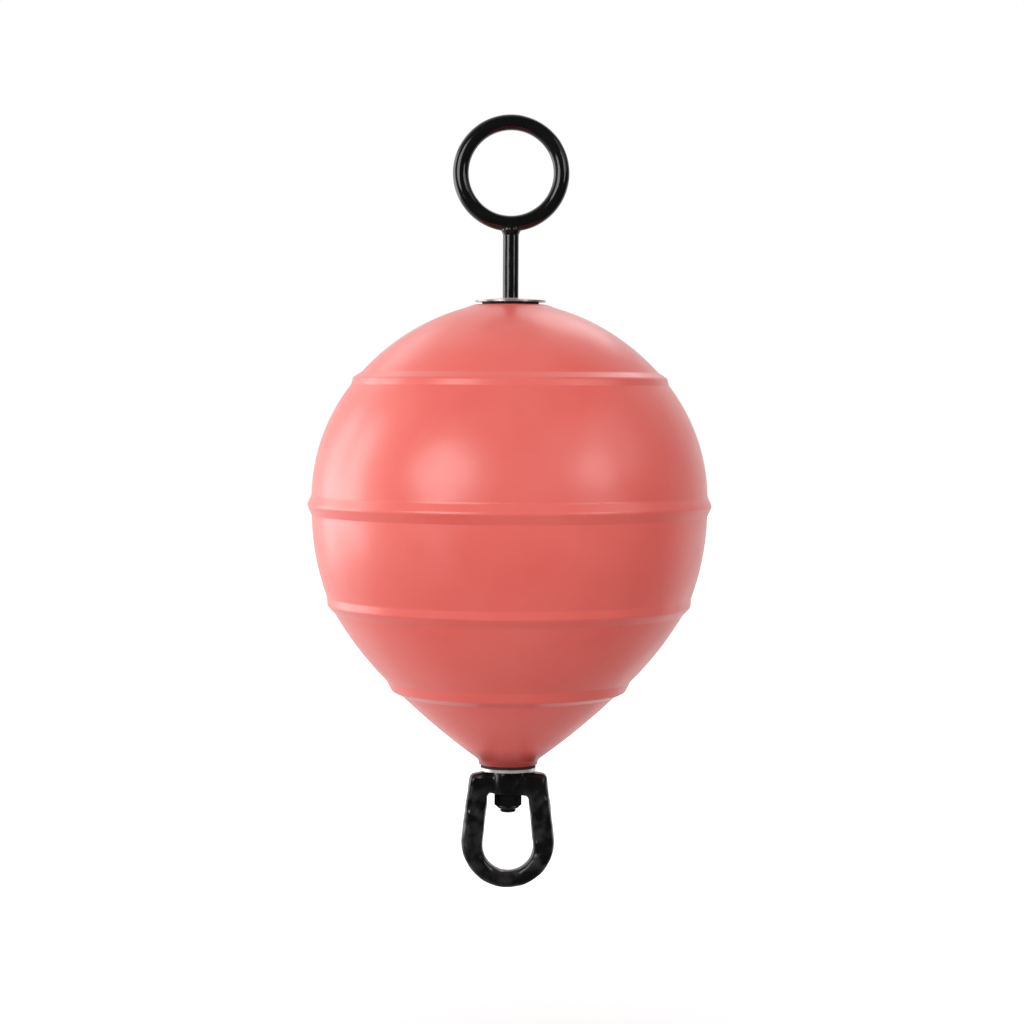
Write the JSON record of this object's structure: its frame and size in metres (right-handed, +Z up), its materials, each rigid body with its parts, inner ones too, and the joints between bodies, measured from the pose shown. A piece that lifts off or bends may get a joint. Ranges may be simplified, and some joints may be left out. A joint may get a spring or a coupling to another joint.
{
  "type": "mooring buoy with through rod, mooring ring and swivel eye",
  "caption": "Ribbed teardrop mooring buoy of coral-red moulded plastic on a black steel rod, with a welded mooring ring on top and a chain eye below that swivels freely.",
  "frame": {"origin": "on the rod's axis at the height of the float's widest bead, the waterline", "axes": "+Z up along the rod towards the mooring ring; X across the ring and the eye; Y through them"},
  "size_m": [0.4093, 0.4094, 0.7855],
  "materials": {
    "float_plastic": "semi-gloss moulded polyethylene, coral red",
    "black_steel": "glossy black coated steel",
    "black_casting": "black coated casting, slightly rough",
    "bright_steel": "bright stainless steel",
    "black_rubber": "matte black rubber"
  },
  "bodies": {
    "root": {"float_shell": "float_plastic", "through_rod": "black_steel", "mooring_ring": "black_steel", "ring_weld": "black_steel", "top_washer": "bright_steel", "top_gasket": "black_rubber", "bottom_gasket": "black_rubber", "bottom_washer": "bright_steel", "swivel_nut": "black_steel", "nut_weld": "black_steel"},
    "swivel": {"swivel_eye": "black_casting"}
  },
  "joints": [
    {"name": "swivel_spin", "type": "hinge", "parent": "root", "child": "swivel", "pos_m": [0, 0, -0.2828], "axis": [0, 0, 1], "continuous": true}
  ]
}
